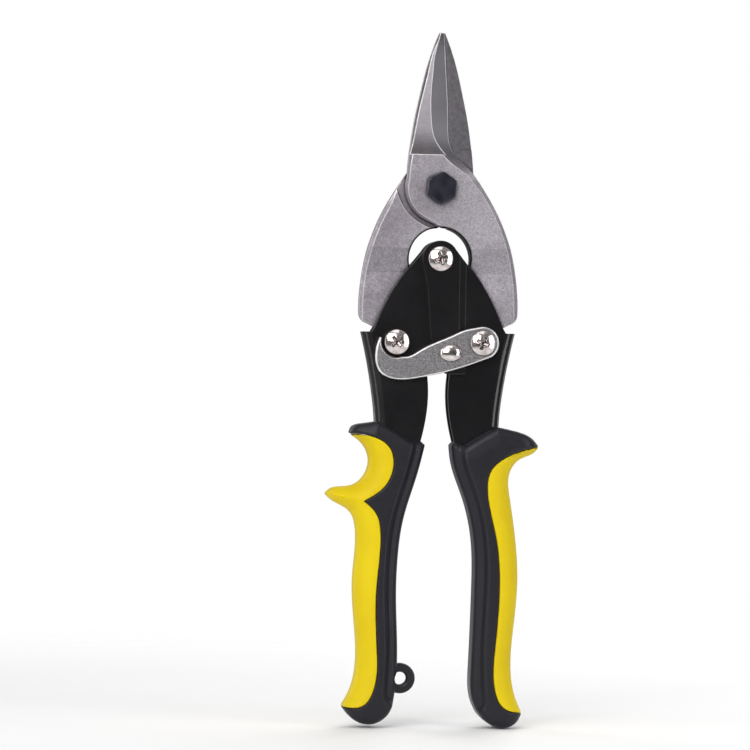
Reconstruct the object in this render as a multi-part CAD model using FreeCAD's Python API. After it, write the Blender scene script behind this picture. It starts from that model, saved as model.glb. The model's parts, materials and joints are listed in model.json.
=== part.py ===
"""Aviation snips, straight pattern, 250 mm long, closed and latched.

Millimetres. +Z runs along the tool from the grips to the jaws, +X is to the right and -Y is the
front. Heights are above the bottom of the grips. While it is built, the pivot line is at X = 0.
Every part is moved by CENTRE_SHIFT when it is written, which centres the tool on the origin.
"""
import FreeCAD, Part
import math
import os

# Overall
CENTRE_SHIFT = 1.45
TIP_Z = 250.0

# Pivots, as (x, z)
JAW_PIVOT = (0.0, 194.0)
HANDLE_PIVOT = (0.0, 168.5)
LINK_X = 15.5
LINK_Z = 138.4
LEFT_LINK = (-LINK_X, LINK_Z)
RIGHT_LINK = (LINK_X, LINK_Z)

# Jaws
SHEAR_GAP = 0.02
JAW_HALF = 4.2
TAIL_HALF = 2.7
PAD_HALF = 3.0
PAD_R = 5.5
BOSS_R = 12.7
BOSS_CHAMFER = 0.9
BOSS_EXIT = math.radians(25.0)
STEP_WALL_TOP = 193.3
WINDOW_R = 11.2
LEDGE_Z = 206.0
RAMP_TOP = 172.4
RAMP_FOOT = 163.4
TAIL_STRIP = 1.4
LINK_EYE_R = 7.3

# Handles
SHEET = 1.8
EAR_IN = 3.1
EAR_OUT = EAR_IN + SHEET
JOGGLE_IN = 5.0
JOGGLE_OUT = JOGGLE_IN + SHEET
JOGGLE_START = 7.0
JOGGLE_END = 9.5
JOGGLE_FOOT = 129.0
EAR_LOBE_R = 6.5
WEB_TOP = 142.0
TANG_FOOT = 22.0
BEND_R = 3.6

# Fasteners
SHANK_R = 2.9
RUNNING_GAP = 0.05
BORE_R = SHANK_R + RUNNING_GAP
FREE_BORE_R = 3.4
HEAD_R = 4.55
HEAD_HEIGHT = 2.1
HEAD_DOME_R = 9.0
NECK_R = 4.2
RECESS = (4.8, 1.5, 0.95)
HEX_FLATS = 10.0
HEX_HEIGHT = 4.5
HEX_TURN = 24.0
NUT_FLATS = 8.0
NUT_HEIGHT = 3.2
WASHER_R = 4.8
WASHER_HEIGHT = 0.8

# Latch
LATCH_BACK = 6.92
LATCH_FRONT = 8.58
STUD = (3.9, 134.7)
STUD_HALF = (4.2, 2.0, 3.3)

# Spring
WIRE_R = 0.8
COIL_R = 5.0
COIL_PITCH = 1.7
COIL_TURNS = 2.5

# Grips
GRIP_HALF = 9.0
GRIP_CHAMFER = 1.5
EYE = (-11.9, 17.4)
EYE_R = 5.5
EYE_BORE_R = 2.2
EYE_HALF = 2.0
EYE_RELIEF_R = 3.4


def at(point, y):
    return FreeCAD.Vector(point[0], y, point[1])


def outline(start, steps, y=0.0):
    """A closed wire in the plane at y. Each step is line, arc (via, end) or curve (points, end)."""
    edges = []
    here = start
    for kind, *points in steps:
        track = [at(point, y) for point in [here] + points]
        if kind == "line":
            edges.append(Part.makeLine(*track))
        elif kind == "arc":
            edges.append(Part.Arc(*track).toShape())
        else:
            curve = Part.BSplineCurve()
            curve.interpolate(track)
            edges.append(curve.toShape())
        here = points[-1]
    if (here[0] - start[0]) ** 2 + (here[1] - start[1]) ** 2 > 1e-9:
        edges.append(Part.makeLine(at(here, y), at(start, y)))
    return Part.Wire(edges)


def prism(start, steps, y0, y1):
    wire = outline(start, steps, y0)
    return Part.Face(wire).extrude(FreeCAD.Vector(0, y1 - y0, 0))


def rod(centre, radius, y0, y1):
    return Part.makeCylinder(radius, y1 - y0, at(centre, y0), FreeCAD.Vector(0, 1, 0))


def side_cut(points, x0, x1):
    """A block with a straight-sided (y, z) profile, running from x0 to x1."""
    corners = [FreeCAD.Vector(x0, y, z) for y, z in points + points[:1]]
    return Part.Face(Part.makePolygon(corners)).extrude(FreeCAD.Vector(x1 - x0, 0, 0))


def turned(shape):
    """The same shape after half a turn about the tool's long axis."""
    twin = shape.copy()
    twin.rotate(FreeCAD.Vector(0, 0, 0), FreeCAD.Vector(0, 0, 1), 180)
    return twin


def polar(centre, radius, angle):
    return centre[0] + radius * math.cos(angle), centre[1] + radius * math.sin(angle)


def hexagon(centre, flats, y0, y1, turn=0.0):
    corner_r = flats / math.sqrt(3)
    corners = [at(polar(centre, corner_r, math.radians(60 * i + turn)), y0) for i in range(7)]
    return Part.Face(Part.makePolygon(corners)).extrude(FreeCAD.Vector(0, y1 - y0, 0))


def edge_shaving(stations, ruled=False):
    """A wedge that shaves an edge. A station is z and the wedge's three (x, y) corners there."""
    sections = []
    for z, *corners in stations:
        points = [FreeCAD.Vector(x, y, z) for x, y in corners + corners[:1]]
        sections.append(Part.makePolygon(points))
    return Part.makeLoft(sections, True, ruled)


# ---------------------------------------------------------------- jaws

# The outer edge of the front jaw's tail, from its foot up to the throat
TAIL_EDGE = [(28.75, 149.2), (28.75, 152.5), (28.35, 158.5), (26.6, 169.0), (24.0, 177.4), (21.2, 184.0),
             (16.35, 192.6), (12.4, 198.8)]


def boss_exit():
    """The straight run that leads the boss's round edge into the window: its start and its end."""
    start = polar(JAW_PIVOT, BOSS_R, -math.pi / 2 - BOSS_EXIT)
    off_x, off_z = start[0] - HANDLE_PIVOT[0], start[1] - HANDLE_PIVOT[1]
    along = off_x * math.cos(BOSS_EXIT) - off_z * math.sin(BOSS_EXIT)
    length = -along - math.sqrt(along ** 2 - off_x ** 2 - off_z ** 2 + WINDOW_R ** 2)
    return start, polar(start, length, -BOSS_EXIT)


def jaw_outline():
    """The whole outline of the front jaw: nose, boss and tail."""
    window_x = 9.0
    window_z = HANDLE_PIVOT[1] - math.sqrt(WINDOW_R ** 2 - window_x ** 2)
    run_start, run_end = boss_exit()
    return (0.9, TIP_Z), [
        ("line", (-1.1, TIP_Z)),
        ("curve", (-3.3, 244.4), (-5.95, 235.8), (-7.95, 227.2), (-9.8, 218.5), (-11.1, 209.9),
         (-11.95, 202.0), (-12.2, 197.53)),
        ("arc", polar(JAW_PIVOT, BOSS_R, -0.8 * math.pi), run_start),
        ("line", run_end),
        ("arc", (WINDOW_R, HANDLE_PIVOT[1]), (window_x, window_z)),
        ("line", (LINK_X - LINK_EYE_R, LINK_Z)),
        ("arc", (LINK_X, LINK_Z - LINK_EYE_R), (22.3, 141.055)),
        ("line", (22.8, 143.6)),
        ("line", (25.6, 145.0)),
        ("arc", (27.9, 146.5), TAIL_EDGE[0]),
        ("curve", *TAIL_EDGE[1:]),
        ("curve", (9.7, 201.7), (6.3, 204.9), (3.7, 208.8), (2.65, 214.5), (2.45, 222.0),
         (1.9, 232.0), (0.9, TIP_Z)),
    ]


def shaved(rows, side=-1, ruled=True):
    """A wedge along the bevel that rows give. Side is -1 for the front and 1 for the back.

    A row is z, then the bevel's inner line as x and depth, then its outer line as x and depth.
    """
    stations = []
    for z, inner_x, inner_depth, edge_x, edge_depth in rows:
        run = edge_x - inner_x
        rise = inner_depth - edge_depth
        near = (inner_x - 0.25 * run, side * (inner_depth + 0.25 * rise))
        far = (inner_x + 2.0 * run, side * (inner_depth - 2.0 * rise))
        stations.append((z, near, far, (far[0], near[1] + side * 2.0)))
    return edge_shaving(stations, ruled)


def tail_strip(top, low, width):
    """Rows of the narrow strip along the tail's outer edge, from z = top down to z = low."""
    edge = Part.BSplineCurve()
    edge.interpolate([at(point, 0) for point in TAIL_EDGE])
    rows = []
    for z in (192.0, 188.0, 184.0, 180.0, 176.0, RAMP_TOP, RAMP_FOOT, 162.0, 158.0, 154.0, 150.0):
        if low <= z <= top:
            level = Part.Plane(FreeCAD.Vector(0, 0, z), FreeCAD.Vector(0, 0, 1))
            place = edge.intersect(level)[0][0]
            slope = edge.tangent(edge.parameter(FreeCAD.Vector(place.X, 0, z)))[0]
            face = tail_half(z)
            rows.append((z, place.X - width / abs(slope.z), face, place.X, face - 0.8 * width))
    return rows


def tail_half(z):
    """Half the tail's thickness, which shrinks down the ramp."""
    share = min(1.0, max(0.0, (z - RAMP_FOOT) / (RAMP_TOP - RAMP_FOOT)))
    return TAIL_HALF + share * (JAW_HALF - TAIL_HALF)


def cutting_bevel():
    """Hollow bevel along the cutting edge, which runs on as a narrow strip down the tail's edge."""
    lip = SHEAR_GAP + 0.3
    face = JAW_HALF
    blade = [
        (251.0, -0.3, 1.35, 0.85, lip), (247.5, -1.3, 1.9, 1.05, lip), (243.7, -2.3, 2.35, 1.3, lip),
        (239.2, -3.1, 2.8, 1.55, lip), (234.7, -3.6, 3.3, 1.8, lip),
        (225.7, -4.0, 3.75, 2.4, lip), (218.5, -3.8, 3.9, 2.5, lip), (212.4, -2.7, 3.75, 2.9, lip),
        (207.6, -0.4, 3.9, 4.2, lip), (204.2, 2.2, face, 7.0, 0.6), (200.4, 7.2, face, 10.9, 1.4),
        (196.4, 11.4, face, 13.9, 2.7),
    ]
    tail = blade[-1:] + tail_strip(192.0, 150.0, TAIL_STRIP)
    tail.append((143.0, *tail[-1][1:]))
    return shaved(blade, ruled=False).fuse(shaved(tail))


def back_strip():
    """The same narrow strip on the back of the tail."""
    rows = tail_strip(188.0, 150.0, TAIL_STRIP - 0.2)
    top, foot = rows[0], rows[-1]
    rows.insert(0, (196.0, top[1] - 3.4, *top[2:]))
    rows.append((143.0, *foot[1:]))
    return shaved(rows, 1)


def nose_face_cut():
    """What is ground off the nose in front of its dished outer face, above the ledge."""
    ledge_y = -JAW_HALF + 0.9
    out_y = -JAW_HALF - 2.0
    top = TIP_Z + 3.0
    start = FreeCAD.Vector(-25, ledge_y, LEDGE_Z)
    dish = Part.BSplineCurve()
    dish.interpolate([start, FreeCAD.Vector(-25, -3.85, 214.0), FreeCAD.Vector(-25, -3.8, 226.0),
                      FreeCAD.Vector(-25, -2.75, 240.0), FreeCAD.Vector(-25, -1.2, top)])
    corners = [FreeCAD.Vector(-25, -1.2, top), FreeCAD.Vector(-25, out_y, top),
               FreeCAD.Vector(-25, out_y, LEDGE_Z), start]
    edges = [dish.toShape()] + [Part.makeLine(a, b) for a, b in zip(corners, corners[1:])]
    return Part.Face(Part.Wire(edges)).extrude(FreeCAD.Vector(50, 0, 0))


def nose_edge_strip():
    """Narrow strip along the nose's outer edge, on the front."""
    rows = [(251.5, -1.0, -1.3, 0.3), (244.4, -3.3, -2.3, 0.6), (235.8, -5.95, -3.1, 0.9),
            (227.2, -7.95, -3.7, 0.9), (218.5, -9.8, -3.9, 0.9), (211.0, -11.0, -3.75, 0.9),
            (205.0, -11.7, -3.9, 0.9), (200.0, -12.1, -4.2, 0.9), (197.5, -12.25, -4.2, 0.9),
            (195.0, -12.6, -4.2, 0.9), (193.0, -13.6, -4.2, 0.9)]
    stations = []
    for z, outer_x, face_y, width in rows:
        corners = [(width + 0.9, -0.9), (-1.5, width + 1.5), (-1.8, -2.4)]
        stations.append((z, *[(outer_x + dx, face_y + dy) for dx, dy in corners]))
    return edge_shaving(stations)


def shear_relief():
    """Shallow relief on the shear side, from the land along the edge out to the nose's outer edge."""
    rows = [(250.5, -1.3, -1.2), (243.0, -2.2, -3.8), (235.0, -2.9, -6.1), (225.0, -3.4, -8.4),
            (216.0, -3.7, -10.3), (208.0, -6.0, -11.3)]
    stations = []
    for z, land_x, outer_x in rows:
        far_x = min(outer_x, land_x - 0.4) - 1.0
        depth = 0.13 * (land_x - far_x)
        stations.append((z, (land_x, -SHEAR_GAP + 0.01), (far_x, -SHEAR_GAP - depth), (far_x, 0.5)))
    return edge_shaving(stations)


def beyond_step_wall():
    """The side of the step wall where a jaw's tail is full thickness."""
    steps = [("arc", (11.2, 184.2), (15.95, STEP_WALL_TOP)), ("line", (40.0, STEP_WALL_TOP)),
             ("line", (40.0, 100.0)), ("line", (0.0, 100.0)), ("line", (0.0, 175.0))]
    return prism((1.706, 179.134), steps, -10, 10)


def boss_chamfer():
    """Chamfer on the front of the boss: round it, then along its straight run, where it dies out."""
    margin = 1.0
    front = -JAW_HALF - margin
    depth = BOSS_CHAMFER + 2 * margin
    ring = rod(JAW_PIVOT, BOSS_R + 8.0, front, front + depth)
    core = Part.makeCone(BOSS_R - BOSS_CHAMFER - margin, BOSS_R + margin, depth, at(JAW_PIVOT, front),
                         FreeCAD.Vector(0, 1, 0))
    run_start = boss_exit()[0]
    beyond = polar(JAW_PIVOT, 26.0, -math.pi / 2 - BOSS_EXIT)
    sector = prism(JAW_PIVOT, [("line", beyond), ("line", (-32.4, beyond[1])), ("line", (-32.4, 195.5)),
                               ("line", (0.0, 195.5))], -10, 10)
    sections = []
    for along, width in ((0.0, BOSS_CHAMFER), (8.0, 0.12)):
        middle = polar(run_start, along, -BOSS_EXIT)
        inner = polar(middle, width + margin, math.pi / 2 - BOSS_EXIT)
        outer = polar(middle, -margin, math.pi / 2 - BOSS_EXIT)
        corners = [at(inner, front), at(outer, front + width + 2 * margin), at(outer, front)]
        sections.append(Part.makePolygon(corners + corners[:1]))
    return ring.cut(core).common(sector).fuse(Part.makeLoft(sections, True, True))


def link_tail_cuts(x0, x1):
    """Both faces of a jaw's tail go down a ramp, to fit between the ears."""
    cuts = []
    for side in (-1, 1):
        profile = [(side * JAW_HALF, RAMP_TOP), (side * TAIL_HALF, RAMP_FOOT), (side * TAIL_HALF, 120.0),
                   (side * 9.0, 120.0), (side * 9.0, RAMP_TOP)]
        cuts.append(side_cut(profile, x0, x1))
    return cuts


def jaw_blank():
    start, steps = jaw_outline()
    blade = prism(start, steps, -JAW_HALF, -SHEAR_GAP)
    tail = prism(start, steps, -SHEAR_GAP, JAW_HALF)
    jaw = blade.fuse(tail.common(beyond_step_wall())).removeSplitter()
    for cut in link_tail_cuts(-5, 40):
        jaw = jaw.cut(cut)
    for cut in (nose_face_cut(), cutting_bevel(), back_strip(), nose_edge_strip(), shear_relief(),
                boss_chamfer()):
        jaw = jaw.cut(cut)
    link_pad = rod(RIGHT_LINK, PAD_R, -PAD_HALF, PAD_HALF)
    return jaw.fuse(link_pad).cut(rod(RIGHT_LINK, BORE_R, -10, 10))


def front_jaw():
    return jaw_blank().cut(rod(JAW_PIVOT, BORE_R, -10, 10))


def rear_jaw():
    return turned(jaw_blank()).cut(rod(JAW_PIVOT, FREE_BORE_R, -10, 10))


# ---------------------------------------------------------------- fasteners

def cross_screw(centre, under_head, height, end):
    """Pan-head screw with a cross recess. Its head stands in front of under_head, at -Y."""
    front = under_head - height
    head = rod(centre, HEAD_R, front, under_head)
    dome = Part.makeSphere(HEAD_DOME_R, at(centre, front + HEAD_DOME_R))
    top = head.common(dome)
    rest = rod(centre, HEAD_R, front + 1.2, under_head)
    screw = top.fuse(rest).fuse(rod(centre, SHANK_R, under_head, end)).removeSplitter()
    length, depth, width = RECESS
    for turn in (20, 110):
        corner = (centre[0] - length / 2, centre[1] - width / 2)
        slot = Part.makeBox(length, depth, width, at(corner, front - 0.2))
        slot.rotate(at(centre, 0), FreeCAD.Vector(0, 1, 0), turn)
        screw = screw.cut(slot)
    return screw


def washer(centre, y0, radius=WASHER_R, height=WASHER_HEIGHT):
    disc = rod(centre, radius, y0, y0 + height)
    return disc.cut(rod(centre, BORE_R, y0 - 1, y0 + height + 1))


def lock_nut(centre, y0, flats=NUT_FLATS, height=NUT_HEIGHT):
    """Hexagon nut with corners bevelled and a round locking collar behind."""
    corner_r = flats / math.sqrt(3)
    bevel = Part.makeCone(corner_r + height, corner_r - 0.7, height + 0.7, at(centre, y0),
                          FreeCAD.Vector(0, 1, 0))
    nut = hexagon(centre, flats, y0, y0 + height - 0.8, 15).common(bevel)
    nut = nut.fuse(rod(centre, flats / 2 - 0.3, y0, y0 + height)).removeSplitter()
    return nut.cut(rod(centre, BORE_R, y0 - 1, y0 + height + 1))


def jaw_pivot_bolt():
    front = -JAW_HALF - HEX_HEIGHT
    corner_r = HEX_FLATS / math.sqrt(3)
    head = hexagon(JAW_PIVOT, HEX_FLATS, front, -JAW_HALF, HEX_TURN)
    bevel = Part.makeCone(corner_r - 0.8, corner_r + HEX_HEIGHT * 1.6 - 0.8, HEX_HEIGHT,
                          at(JAW_PIVOT, front), FreeCAD.Vector(0, 1, 0))
    shank_end = JAW_HALF + SHEAR_GAP + WASHER_HEIGHT + 4.6
    return head.common(bevel).fuse(rod(JAW_PIVOT, SHANK_R, -JAW_HALF, shank_end)).removeSplitter()


def jaw_pivot_washer():
    return washer(JAW_PIVOT, JAW_HALF + SHEAR_GAP, 6.0)


def jaw_pivot_nut():
    return lock_nut(JAW_PIVOT, JAW_HALF + SHEAR_GAP + WASHER_HEIGHT, 10.0, 4.2)


def handle_pivot_screw():
    return cross_screw(HANDLE_PIVOT, -JOGGLE_OUT, HEAD_HEIGHT, JOGGLE_OUT + WASHER_HEIGHT + NUT_HEIGHT)


def handle_pivot_washer():
    return washer(HANDLE_PIVOT, JOGGLE_OUT)


def handle_pivot_nut():
    return lock_nut(HANDLE_PIVOT, JOGGLE_OUT + WASHER_HEIGHT)


def handle_pivot_sleeve():
    half = EAR_IN - RUNNING_GAP
    tube = rod(HANDLE_PIVOT, COIL_R - WIRE_R - 0.3, -half, half)
    return tube.cut(rod(HANDLE_PIVOT, BORE_R, -10, 10))


LINK_SCREW_END = EAR_OUT + WASHER_HEIGHT + NUT_HEIGHT + 0.3


LINK_HEAD_BACK = -LATCH_FRONT - 0.04


def left_link_screw():
    """The latch's hook catches this screw's neck, behind its head."""
    neck = rod(LEFT_LINK, NECK_R, LINK_HEAD_BACK, -EAR_OUT)
    screw = cross_screw(LEFT_LINK, LINK_HEAD_BACK, HEAD_HEIGHT, LINK_SCREW_END)
    return screw.fuse(neck).removeSplitter()


def right_link_screw():
    return cross_screw(RIGHT_LINK, LINK_HEAD_BACK, HEAD_HEIGHT, LINK_SCREW_END)


def link_washer(centre):
    return washer(centre, EAR_OUT)


def link_nut(centre):
    return lock_nut(centre, EAR_OUT + WASHER_HEIGHT)


# ---------------------------------------------------------------- handles

def web_line(inset):
    """The channel's web from its top to its foot, moved in by inset."""
    line = [(27.9, WEB_TOP), (26.3, 135.0), (25.0, 128.5), (24.0, 122.5), (22.7, 112.0), (22.5, 101.0),
            (23.4, 90.0), (25.2, 72.0), (26.3, 55.0), (26.0, 38.0), (25.3, TANG_FOOT)]
    return [(x - inset, z) for x, z in line]


def handle_envelope():
    """The channel of the right handle as one filled block, with its two bends rounded."""
    web = web_line(0)
    steps = [
        ("curve", *web[1:]),
        ("line", (16.8, TANG_FOOT)),
        ("curve", (17.2, 38.0), (17.3, 52.0), (15.2, 70.0), (10.5, 88.0), (5.9, 103.4), (4.0, 126.4)),
        ("line", (4.0, JOGGLE_FOOT)),
        ("line", (JOGGLE_END, JOGGLE_FOOT)),
        ("line", (20.0, WEB_TOP)),
        ("line", web[0]),
    ]
    block = prism(web[0], steps, -EAR_OUT, EAR_OUT)
    return block.makeFillet(BEND_R, web_edges(block, web))


def web_edges(block, web):
    """The two long edges of a block that follow the web."""
    def touches(edge, point):
        return any(abs(end.X - point[0]) + abs(end.Z - point[1]) < 0.01 for end in edge.Vertexes)

    return [edge for edge in block.Edges if touches(edge, web[0]) and touches(edge, web[-1])]


def handle_cavity():
    """The open inside of the channel, which also runs up between the ears."""
    web = web_line(SHEET)
    web[-1] = (web[-1][0], TANG_FOOT - 2.0)
    top = (web[0][0], WEB_TOP + 5.0)
    web[0] = (web[0][0] + 0.3, WEB_TOP + 1.0)
    steps = [("curve", *web[1:]), ("line", (-12.0, TANG_FOOT - 2.0)), ("line", (-12.0, 180.0)),
             ("line", (web[0][0], 180.0)), ("line", web[0])]
    block = prism(web[0], steps, -EAR_IN, EAR_IN)
    return block.makeFillet(BEND_R - SHEET, web_edges(block, web))


def ear_outline():
    top = polar(HANDLE_PIVOT, EAR_LOBE_R, math.radians(41))
    return top, [
        ("curve", (9.25, 167.35), (13.05, 163.0), (15.8, 158.9), (18.45, 154.4), (20.6, 150.0),
         (22.4, 145.8), (23.3, 143.6)),
        ("line", (24.3, WEB_TOP)),
        ("line", (22.0, JOGGLE_FOOT)),
        ("line", (2.4, JOGGLE_FOOT)),
        ("line", (-3.0, 139.7)),
        ("line", (-4.4, 158.0)),
        ("line", polar(HANDLE_PIVOT, EAR_LOBE_R, math.radians(190))),
        ("arc", polar(HANDLE_PIVOT, EAR_LOBE_R, math.radians(100)), top),
    ]


def joggled_sheet():
    """The front ear's sheet seen from above: it steps forward over the other handle's ear."""
    corners = [(-10, -JOGGLE_OUT), (JOGGLE_START, -JOGGLE_OUT), (JOGGLE_END, -EAR_OUT),
               (30, -EAR_OUT), (30, -EAR_IN), (JOGGLE_END - 0.4, -EAR_IN),
               (JOGGLE_START - 0.4, -JOGGLE_IN), (-10, -JOGGLE_IN)]
    points = [FreeCAD.Vector(x, y, 120) for x, y in corners + corners[:1]]
    return Part.Face(Part.makePolygon(points)).extrude(FreeCAD.Vector(0, 0, 60))


def right_handle():
    channel = handle_envelope().cut(handle_cavity())
    start, steps = ear_outline()
    front_ear = prism(start, steps, -10, 0).common(joggled_sheet())
    back_ear = prism(start, steps, EAR_IN, EAR_OUT)
    foot_wall = Part.makeBox(JOGGLE_END - 2.4, JOGGLE_OUT - EAR_IN, SHEET,
                             FreeCAD.Vector(2.4, -JOGGLE_OUT, JOGGLE_FOOT - SHEET))
    handle = channel.fuse([front_ear, back_ear, foot_wall]).removeSplitter()
    for centre in (HANDLE_PIVOT, RIGHT_LINK):
        handle = handle.cut(rod(centre, BORE_R, -10, 10))
    return handle


def left_handle():
    return turned(right_handle())


def handle_spring():
    """Torsion spring: a coil round the handle pivot, and a leg down the inside of each channel."""
    height = COIL_PITCH * COIL_TURNS
    helix = Part.makeHelix(COIL_PITCH, height, COIL_R)
    ring = Part.Wire(Part.makeCircle(WIRE_R, FreeCAD.Vector(COIL_R, 0, 0), FreeCAD.Vector(0, 1, 0)))
    coil = Part.Wire(helix).makePipeShell([ring], True, True)
    coil.rotate(FreeCAD.Vector(0, 0, 0), FreeCAD.Vector(1, 0, 0), 90)
    coil.translate(at(HANDLE_PIVOT, height / 2))
    parts = []
    for side, y in ((1, height / 2), (-1, -height / 2)):
        knots = [(side * COIL_R, HANDLE_PIVOT[1]), (side * 5.6, 134.0), (side * 19.4, 113.5)]
        parts.append(Part.makeSphere(WIRE_R + 0.02, at(knots[0], y)))
        for a, b in zip(knots, knots[1:]):
            run = at(b, y) - at(a, y)
            parts.append(Part.makeCylinder(WIRE_R, run.Length, at(a, y), run))
            parts.append(Part.makeSphere(WIRE_R, at(b, y)))
    return coil.fuse(parts).removeSplitter()


# ---------------------------------------------------------------- latch

def latch():
    tip = (-20.84, 139.73)
    steps = [
        ("arc", (-19.39, 134.51), (-13.8, 133.17)),
        ("curve", (-11.2, 133.4), (-7.3, 135.5), (-1.4, 138.5), (4.6, 141.1), (9.4, 143.2),
         (13.6, 144.04)),
        ("arc", (21.45, 138.4), (17.9, 132.96)),
        ("curve", (10.7, 130.3), (3.0, 127.9), (-4.8, 126.1), (-11.0, 125.0), (-17.3, 125.2),
         (-20.9, 127.0), (-22.9, 130.6), (-23.1, 134.8), (-22.4, 138.4), (-21.8, 139.9)),
        ("arc", (-21.2, 140.2), tip),
    ]
    plate = prism(tip, steps, -LATCH_FRONT, -LATCH_BACK)
    return plate.cut(rod(RIGHT_LINK, BORE_R, -10, 0))


def latch_bush():
    tube = rod(RIGHT_LINK, 4.6, -LATCH_BACK + 0.02, -EAR_OUT)
    return tube.cut(rod(RIGHT_LINK, BORE_R, -10, 0))


def latch_thumb_stud():
    """Domed oval stud."""
    half_x, half_y, half_z = STUD_HALF
    ball = Part.makeSphere(1.0, FreeCAD.Vector(0, 0, 0))
    stretch = FreeCAD.Matrix(half_x, 0, 0, STUD[0], 0, half_y, 0, -LATCH_FRONT,
                             0, 0, half_z, STUD[1], 0, 0, 0, 1)
    dome = ball.transformGeometry(stretch)
    front = Part.makeBox(20, 10, 20, FreeCAD.Vector(STUD[0] - 10, -LATCH_FRONT - 10, STUD[1] - 10))
    return dome.common(front)


# ---------------------------------------------------------------- grips

def left_grip_outline():
    return (-4.3, 101.6), [
        ("curve", (-7.1, 90.4), (-11.6, 75.3), (-13.6, 60.0), (-13.9, 47.0), (-13.2, 28.0), (-13.9, 12.5),
         (-16.4, 4.6), (-22.7, 1.0), (-29.6, 3.2), (-33.0, 7.3)),
        ("curve", (-30.3, 12.2), (-28.0, 22.5), (-28.4, 34.7), (-29.5, 53.1), (-28.6, 69.0),
         (-31.0, 77.2), (-38.6, 82.0), (-40.0, 83.6)),
        ("curve", (-38.2, 85.3), (-30.5, 86.7), (-25.6, 91.0), (-24.5, 96.5), (-27.0, 101.8),
         (-31.6, 105.2)),
        ("curve", (-30.8, 107.4), (-26.0, 109.1), (-21.5, 109.8)),
        ("line", (-9.6, 102.9)),
        ("line", (-6.0, 103.1)),
    ]


def left_inlay_region():
    return (-31.6, 105.2), [
        ("curve", (-22.7, 104.2), (-16.8, 100.2), (-15.5, 94.5), (-18.2, 86.9), (-25.9, 81.2)),
        ("curve", (-21.2, 76.3), (-20.2, 70.0), (-21.9, 50.9), (-20.7, 28.0), (-21.2, 14.5), (-25.2, 7.8),
         (-33.0, 7.3)),
        ("line", (-50.0, 7.3)),
        ("line", (-50.0, 105.2)),
    ]


def right_grip_outline():
    return (4.9, 101.6), [
        ("line", (6.4, 103.0)),
        ("line", (9.6, 101.5)),
        ("curve", (15.6, 105.3), (21.4, 108.5)),
        ("curve", (27.5, 107.2), (34.9, 104.0), (37.1, 101.4)),
        ("curve", (35.6, 99.3), (30.5, 96.8), (26.6, 91.5), (26.8, 83.3), (28.8, 70.4), (30.1, 53.0),
         (29.0, 37.0), (28.1, 21.8), (29.8, 11.3), (32.3, 5.4)),
        ("curve", (30.2, 2.1), (24.2, 0.0), (18.2, 2.9), (14.0, 9.7), (13.2, 21.6), (14.0, 49.2),
         (13.5, 67.5), (9.9, 83.0), (5.6, 95.8), (4.9, 101.6)),
    ]


def right_inlay_region():
    return (37.1, 101.4), [
        ("curve", (26.5, 98.1), (19.6, 92.3), (18.6, 84.5), (21.9, 68.5), (23.4, 51.0), (22.1, 28.7),
         (21.9, 15.8), (25.5, 7.4), (32.3, 5.4)),
        ("line", (50.0, 5.4)),
        ("line", (50.0, 101.4)),
    ]


def grip_block(shape_of, tool_envelope):
    start, steps = shape_of()
    half = GRIP_HALF
    block = prism(start, steps, -half, half)
    rims = [edge for edge in block.Edges if abs(abs(edge.Vertexes[0].Y) - half) < 0.01
            and abs(edge.Vertexes[0].Y - edge.Vertexes[-1].Y) < 0.01]
    block = block.makeChamfer(GRIP_CHAMFER, rims)
    return block.cut(tool_envelope)


def left_grip_body():
    start, steps = left_inlay_region()
    body = grip_block(left_grip_outline, turned(handle_envelope())).cut(prism(start, steps, -20, 20))
    eye = rod(EYE, EYE_R, -EYE_HALF, EYE_HALF)
    for y0 in (-GRIP_HALF - 1.0, EYE_HALF):
        body = body.cut(rod(EYE, EYE_RELIEF_R, y0, y0 + GRIP_HALF + 1.0 - EYE_HALF))
    body = body.fuse(eye).cut(turned(handle_envelope())).removeSplitter()
    return body.cut(rod(EYE, EYE_BORE_R, -10, 10))


def left_grip_inlay():
    start, steps = left_inlay_region()
    return grip_block(left_grip_outline, turned(handle_envelope())).common(prism(start, steps, -20, 20))


def right_grip_body():
    start, steps = right_inlay_region()
    return grip_block(right_grip_outline, handle_envelope()).cut(prism(start, steps, -20, 20))


def right_grip_inlay():
    start, steps = right_inlay_region()
    return grip_block(right_grip_outline, handle_envelope()).common(prism(start, steps, -20, 20))


# ---------------------------------------------------------------- the whole tool

def all_parts():
    parts = {make.__name__: make() for make in (
        front_jaw, rear_jaw, jaw_pivot_bolt, jaw_pivot_washer, jaw_pivot_nut,
        left_handle, right_handle, handle_pivot_screw, handle_pivot_washer, handle_pivot_nut,
        handle_pivot_sleeve, handle_spring, left_link_screw, right_link_screw,
        latch, latch_bush, latch_thumb_stud,
        left_grip_body, left_grip_inlay, right_grip_body, right_grip_inlay)}
    for side, centre in (("left", LEFT_LINK), ("right", RIGHT_LINK)):
        parts[side + "_link_washer"] = link_washer(centre)
        parts[side + "_link_nut"] = link_nut(centre)
    return parts


os.makedirs("parts", exist_ok=True)
for name, shape in all_parts().items():
    shape.translate(FreeCAD.Vector(CENTRE_SHIFT, 0, 0))
    print(name, shape.isValid(), len(shape.Solids), round(shape.Volume, 1))
    shape.exportStep("parts/" + name + ".step")
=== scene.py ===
"""Aviation snips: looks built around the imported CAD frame.

Shapes are worked out in the tool frame, in millimetres: X is 0 at the pivot line, +Z runs up the
tool and -Y is the front. put() moves them into the row frame, in metres.
"""
import json
import math

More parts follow.
